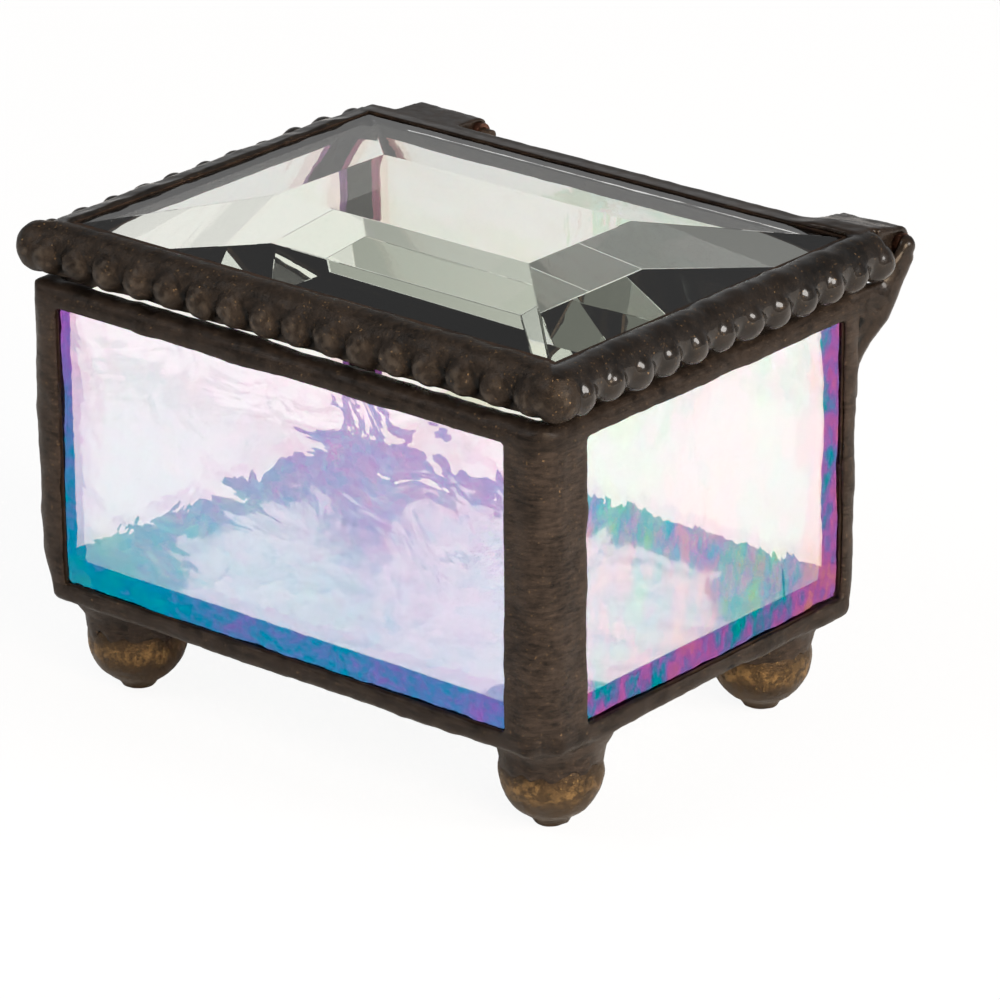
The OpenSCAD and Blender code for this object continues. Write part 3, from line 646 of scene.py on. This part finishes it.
def box_extras(union):
    """The webs that carry the hinge rods, and the solder that ran down over each ball foot."""
    flow(union, (25.8, 20.1, 34.9, 0.85), (25.3, 18.3, 32.6, 1.05), (24.0, 15.0, 32.6, 1.1), (24.3, 15.5, 27, 0.95),
         (25.2, 17.7, 31, 0.95), (25.8, 20.1, 34.9, 0.85))
    flow(union, (24.0, 15.0, 32.6, 1.1), (25.2, 17.7, 31, 0.95), (25.3, 18.3, 32.6, 1.05))
    flow(union, (25.2, 17.7, 31, 0.95), (24.8, 16.5, 28.6, 0.9), (24.3, 15.5, 26, 0.9), (24.1, 15.2, 20, 0.8))
    flow(union, (-23.2, 20.1, 34.8, 0.8), (-23.3, 18.2, 32.1, 0.85), (-23.8, 15.2, 32, 1.0), (-23.9, 15.4, 26, 0.85),
         (-23.3, 18.2, 32.1, 0.85))
    for corner in CORNERS:
        low, high = (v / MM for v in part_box("foot_" + corner))
        foot_x, foot_y, radius = (low.x + high.x) / 2, (low.y + high.y) / 2, (high.x - low.x) / 2
        collar = bmesh.ops.create_cone(union, cap_ends=True, segments=64, radius1=radius * 0.985,
                                       radius2=radius * 1.13, depth=3.9)["verts"]
        bmesh.ops.translate(union, vec=(foot_x, foot_y, 6.5), verts=collar)
        flow(union, (math.copysign(23.3, foot_x), math.copysign(16.9, foot_y) + box_middle, 9.9, 1.5),
             (foot_x, foot_y, 6.9, radius * 0.93))
        skirt = bmesh.ops.create_cone(union, cap_ends=True, segments=64, radius1=radius * 1.06,
                                      radius2=radius * 1.3, depth=1.9)["verts"]
        bmesh.ops.translate(union, vec=(foot_x, foot_y, 7.35), verts=skirt)


def tuck(points):
    """Draws the lower half of the right hinge leg in against the corner it is soldered to."""
    x, y, z = points.T
    low_down = ease(-z, -34, -27) * ease(x, 23.8, 25.2) * ease(y, 14.8, 16)
    moved = points.copy()
    moved[:, 0] -= 0.95 * low_down + 0.6 * ease(z, 30.5, 33.5) * ease(x, 24.9, 26.3) * ease(y, 14.8, 16)
    moved[:, 1] -= 0.45 * low_down
    return moved


def settle_box(points):
    """Rounds off the bottom corners and keeps the solder inside the front and right panes thin."""
    moved = tuck(points)
    x, y, z = moved.T
    from_middle = y - box_middle
    corner = ease(np.minimum(np.abs(x) - 22, np.abs(from_middle) - 15.65), 0.8, 3.0)
    low_down = np.clip((12.5 - z) / 4.6, 0, 1) ** 2
    rounding = 1.1
    moved[:, 0] -= np.sign(x) * rounding * corner * low_down
    moved[:, 1] -= np.sign(from_middle) * rounding * corner * low_down
    collar_rim = 5.6
    for index in np.flatnonzero(z < collar_rim):
        ragged = noise.noise(Vector((x[index] / 1.1, y[index] / 1.1, 4)))
        moved[index, 2] += (collar_rim - z[index]) * (0.35 + 1.1 * ragged)
    within = (np.abs(x) < 22.94) & (y > -19.02) & (y < 14.16)
    near = np.maximum(ease(-y, 15.5, 16.6), ease(x, 19.6, 20.7)) * within
    thin = near * (z > 10.1) * (z < 13)
    wave = np.array([noise.noise(Vector((p[0], p[1], 0)) / 3.2) if part else 0 for p, part in zip(moved, thin)])
    moved[:, 2] = np.where(thin > 0, z - (z - 10.1) * (0.74 + 0.45 * wave) * thin, moved[:, 2])
    left_inner = within & (x < -21) & (y < -17) & (z > 11)
    moved[:, 0] = np.where(left_inner, -22.95 + (x + 22.95) * 0.6, moved[:, 0])
    return moved


box_skin = molten_skin(box_names, 0.2, 4, [(5, 0.16), (1.8, 0.09), (0.7, 0.035)], 1, box_extras, settle_box)
print("box skin", len(box_skin.polygons), "faces")
print(separate_skin(box_skin, box_names, "box", box_finish, 0.012))

# %% [markdown]
# Round the lid lies a thick smooth roll with a row of beads along its outer
# foot. Each bead is a drop of solder set down by hand, so no two are alike.

# %% Solder of the lid
lid_names = ["lid_roll_front", "lid_roll_left", "lid_roll_right", "lid_rim_back",
             "hinge_solder_left", "hinge_solder_right"]
lid_finish = [rubbed, beaded, beaded] + [smooth] * 3
glass_low, glass_high = (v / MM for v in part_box("lid_glass"))
bevel_low = glass_low.z + 2.6
bevel_slope = (glass_high.z - bevel_low) / 12.3


def settle_rim(points):
    """Lets the rim lie low on the glass along the left and the back, as the real one does."""
    x, y, z = points.T
    inside = np.minimum.reduce([x - glass_low.x, glass_high.x - x, y - glass_low.y, glass_high.y - y])
    top = bevel_low + bevel_slope * np.clip(inside, 0, 12.3)
    over = np.clip(z - top - 0.12, 0, None)
    along_back = ease(y, glass_high.y - 5, glass_high.y - 3.2) * (1 - ease(x, glass_high.x - 7, glass_high.x - 3))
    settled = points.copy()
    settled[:, 2] -= over * 0.85 * along_back
    in_glass = (x > glass_low.x - 0.08) & (x < glass_low.x + 1.6) & (y > glass_low.y + 1.5) & (z > 34.35) & \
        (z < top - 0.05)
    settled[:, 0] = np.where(in_glass, glass_low.x - 0.08, x)
    return settled


def rim_extras(union):
    """The straight lip under the front beads, and the left rim: a low roll, its lips and its row of beads."""
    lip = bmesh.ops.create_cube(union, size=1)["verts"]
    bmesh.ops.scale(union, vec=(glass_high.x - glass_low.x - 1, 1.3, 0.5), verts=lip)
    bmesh.ops.translate(union, vec=(0, glass_low.y - 0.1, glass_low.z - 0.2), verts=lip)
    length, middle = glass_high.y - glass_low.y - 1.2, (glass_high.y + glass_low.y) / 2 + 0.4
    roll = bmesh.ops.create_cone(union, cap_ends=True, segments=48, radius1=1.42, radius2=1.42, depth=length)["verts"]
    bmesh.ops.rotate(union, cent=(0, 0, 0), matrix=Matrix.Rotation(math.pi / 2, 3, "X"), verts=roll)
    bmesh.ops.translate(union, vec=(glass_low.x - 0.5, middle, 35.4), verts=roll)
    for tilt, x, z, thick in ((-math.atan(bevel_slope), 0.35, 37.12, 0.42), (0, 0.6, 34.1, 0.45)):
        lip = bmesh.ops.create_cube(union, size=1)["verts"]
        bmesh.ops.scale(union, vec=(1.5, length, thick), verts=lip)
        bmesh.ops.rotate(union, cent=(0, 0, 0), matrix=Matrix.Rotation(tilt, 3, "Y"), verts=lip)
        bmesh.ops.translate(union, vec=(glass_low.x + x, middle, z), verts=lip)
    for count in range(11):
        size = 1.27 + 0.07 * math.sin(count * 2.3)
        drop = bmesh.ops.create_icosphere(union, subdivisions=3, radius=size)["verts"]
        y = glass_low.y + 1.9 + count * (glass_high.y - glass_low.y - 2.4) / 10
        bmesh.ops.translate(union, vec=(glass_low.x - 1.12, y, 35.64 + 0.08 * math.sin(count * 4.1)), verts=drop)


drawn = [name for name in lid_names if name != "lid_roll_left"]
lid_skin = molten_skin(drawn, 0.15, 3, [(4, 0.1), (1.5, 0.08), (0.6, 0.03)], 2, rim_extras, settle_rim)
print("lid skin", len(lid_skin.polygons), "faces")
print(separate_skin(lid_skin, lid_names, "lid", lid_finish, 0.012))

# %% [markdown]
# A foot is a turned brass ball, a little pointed towards the small pad it
# stands on. Its outline is spun round the ball's own axis, then dented by noise.

# %% Feet
def spun_foot(corner, seed):
    low, high = (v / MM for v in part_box("foot_" + corner))
    x, y, top = (low.x + high.x) / 2, (low.y + high.y) / 2, high.z
    radius = (high.x - low.x) / 2
    middle = top - 0.97 * radius
    outline = [(0, 0), (1.1, 0), (1.3, 0.08), (1.42, 0.3)]
    for step in range(1, 25):
        angle = math.radians(-70 + step * 6.2)
        r, z = radius * math.cos(angle), middle + radius * math.sin(angle)
        outline.append((r, min(z, top)))
    outline = [p for p in outline if p[0] > 0.3 or p[1] < 0.1] + [(0, top)]
    lathe = bmesh.new()
    ring = [lathe.verts.new((x + r, y, z)) for r, z in outline]
    edges = [lathe.edges.new(pair) for pair in zip(ring, ring[1:])]
    bmesh.ops.spin(lathe, geom=ring + edges, cent=(x, y, 0), axis=(0, 0, 1), angle=2 * math.pi,
                   steps=72, use_merge=True)
    bmesh.ops.remove_doubles(lathe, verts=lathe.verts, dist=0.001)
    bmesh.ops.subdivide_edges(lathe, edges=lathe.edges, cuts=1, use_grid_fill=True)
    bmesh.ops.recalc_face_normals(lathe, faces=lathe.faces)
    for vert in lathe.verts:
        if vert.co.z > 0.02:
            near = vert.co / 1.6 + Vector((seed * 7.7, 0, 0))
            vert.co += vert.normal * (0.07 * noise.noise(near) + 0.03 * noise.noise(near * 3))
    mesh = bpy.data.meshes.new("ball_foot_" + corner)
    lathe.to_mesh(mesh)
    lathe.free()
    return finish_piece(mesh, "ball_foot_" + corner, "box", ["foot_" + corner], brass)


feet = [spun_foot(corner, seed) for seed, corner in enumerate(CORNERS)]
print("feet", [len(foot.data.polygons) for foot in feet])

# %% [markdown]
# The right hinge rod is bent down into the corner. The solder round its lower
# half was drawn in, so the rod takes the same small bend.

# %% Right hinge rod
bent = welded("hinge_rod_right")
for vert, place in zip(bent.verts, tuck(np.array([v.co for v in bent.verts]))):
    vert.co = place
bent_mesh = bpy.data.meshes.new("bent_hinge_rod_right")
bent.to_mesh(bent_mesh)
bent.free()
bent_mesh.shade_smooth()
finish_piece(bent_mesh, "bent_hinge_rod_right", "box", ["hinge_rod_right"], rod)
print("rod", len(bent_mesh.polygons), "faces")

# %% Finishes of the solids that stay
for name, node in frame["nodes"].items():
    finish = foil if name.endswith("_foil") else rod if name.startswith("hinge_rod") else \
        tube if name.startswith("hinge_tube") else None
    if finish:
        dress(node, finish)
print("foil, rods and tubes finished")

# %% [markdown]
# The photograph has a white ground and soft light from all sides. The ground
# is white paper that the camera sees almost evenly bright, so the casket's
# shadow is only a trace, while mirrored in the panes it is plain lit paper.

# %% Floor
floor_mesh = bpy.data.meshes.new("floor")
ground = bmesh.new()
bmesh.ops.create_grid(ground, x_segments=1, y_segments=1, size=1.5)
ground.to_mesh(floor_mesh)
ground.free()
floor = bpy.data.objects.new("floor", floor_mesh)
scene.collection.objects.link(floor)
paper, tree, shader = new_material("floor_paper")
shader.inputs["Base Color"].default_value = (0.92, 0.92, 0.92, 1)
shader.inputs["Roughness"].default_value = 0.8
path = add_node(tree, "ShaderNodeLightPath")
seen = maths(tree, "MULTIPLY", path.outputs["Is Transmission Ray"], 0.72)
share = maths(tree, "MULTIPLY", path.outputs["Is Camera Ray"], 0.92)
share = maths(tree, "MAXIMUM", share.outputs[0], seen.outputs[0])
glow = add_node(tree, "ShaderNodeEmission", Strength=1)
blend = tree.nodes.new("ShaderNodeMixShader")
join(tree, (share.outputs[0], blend.inputs[0]), (shader.outputs[0], blend.inputs[1]),
     (glow.outputs[0], blend.inputs[2]), (blend.outputs[0], tree.nodes["Material Output"].inputs["Surface"]))
floor_mesh.materials.append(paper)
print("floor at", floor.location[:])

# %% [markdown]
# Three things see the surroundings in their own way. The camera sees white.
# Solder and the lid's top mirror a sky that is dimmer overhead. The lid's
# bevels bend the view towards grey cloths beside the table, which gives them
# their run of greys. Two lamps low on the right put a warm and a paler glint
# on every bead, and a soft one lights the front.

# %% World and lamps
world = bpy.data.worlds.new("studio")
world.use_nodes = True
scene.world = world
tree = world.node_tree
tree.nodes.clear()
path = add_node(tree, "ShaderNodeLightPath")
place = add_node(tree, "ShaderNodeTexCoord")
parts = add_node(tree, "ShaderNodeSeparateXYZ")
sky = ramp(tree, (0.0, (0.6, 0.6, 0.6)), (0.5, (0.4, 0.4, 0.4)), (0.7, (0.3, 0.3, 0.3)),
           (1.0, (0.18, 0.18, 0.18)))
lift = span(tree, -1, 1)
mirrored = add_node(tree, "ShaderNodeBackground", Strength=1)
fill = add_node(tree, "ShaderNodeBackground", Strength=1)
white = add_node(tree, "ShaderNodeBackground", Strength=1)
aside = maths(tree, "ABSOLUTE", parts.outputs["X"])
drapes = ramp(tree, (0.42, (1.0, 0.99, 0.97)), (0.55, (0.86, 0.85, 0.80)), (0.62, (0.46, 0.47, 0.43)),
              (0.68, (0.22, 0.22, 0.21)), (1.0, (0.16, 0.16, 0.15)))
above = span(tree, 0.10, 0.22)
lid_view = add_node(tree, "ShaderNodeMix", data_type="RGBA")
lid_view.inputs[6].default_value = (1, 1, 1, 1)
join(tree, (place.outputs["Generated"], parts.inputs[0]), (aside.outputs[0], drapes.inputs[0]),
     (parts.outputs["Z"], above.inputs["Value"]), (above.outputs[0], lid_view.inputs[0]),
     (drapes.outputs[0], lid_view.inputs[7]), (lid_view.outputs[2], white.inputs["Color"]))
fill.inputs["Color"].default_value = (0.36, 0.36, 0.36, 1)
seen = maths(tree, "MAXIMUM", path.outputs["Is Camera Ray"], path.outputs["Is Transmission Ray"])
shine = tree.nodes.new("ShaderNodeMixShader")
blend = tree.nodes.new("ShaderNodeMixShader")
final = tree.nodes.new("ShaderNodeOutputWorld")
join(tree, (parts.outputs["Z"], lift.inputs["Value"]), (lift.outputs[0], sky.inputs[0]),
     (sky.outputs[0], mirrored.inputs["Color"]),
     (path.outputs["Is Glossy Ray"], shine.inputs[0]), (fill.outputs[0], shine.inputs[1]),
     (mirrored.outputs[0], shine.inputs[2]), (seen.outputs[0], blend.inputs[0]), (shine.outputs[0], blend.inputs[1]),
     (white.outputs[0], blend.inputs[2]), (blend.outputs[0], final.inputs["Surface"]))


def lamp(name, at, size, watts, colour):
    light = bpy.data.lights.new(name, "AREA")
    light.shape, light.size, light.energy, light.color = "DISK", size, watts, colour
    made = bpy.data.objects.new(name, light)
    made.location = at
    made.visible_transmission = False
    made.rotation_euler = (Vector((0, 0, 0.02)) - Vector(at)).to_track_quat("-Z", "Y").to_euler()
    scene.collection.objects.link(made)
    return made


lamps = [lamp("key_warm", (0.86, -0.40, 0.46), 0.5, 11, (1, 0.78, 0.55)),
         lamp("key_cool", (0.93, 0.16, 0.52), 0.4, 8, (1, 0.97, 0.93)),
         lamp("front_soft", (-0.35, -0.62, 0.80), 0.5, 3.6, (1, 1, 1))]
scene.view_settings.view_transform = "Standard"
scene.cycles.max_bounces = 32
scene.cycles.glossy_bounces = 12
scene.cycles.transmission_bounces = 24
scene.cycles.transparent_max_bounces = 16
scene.cycles.use_denoising = True
scene.cycles.denoising_input_passes = "RGB"
print("lamps", [light.name for light in lamps])
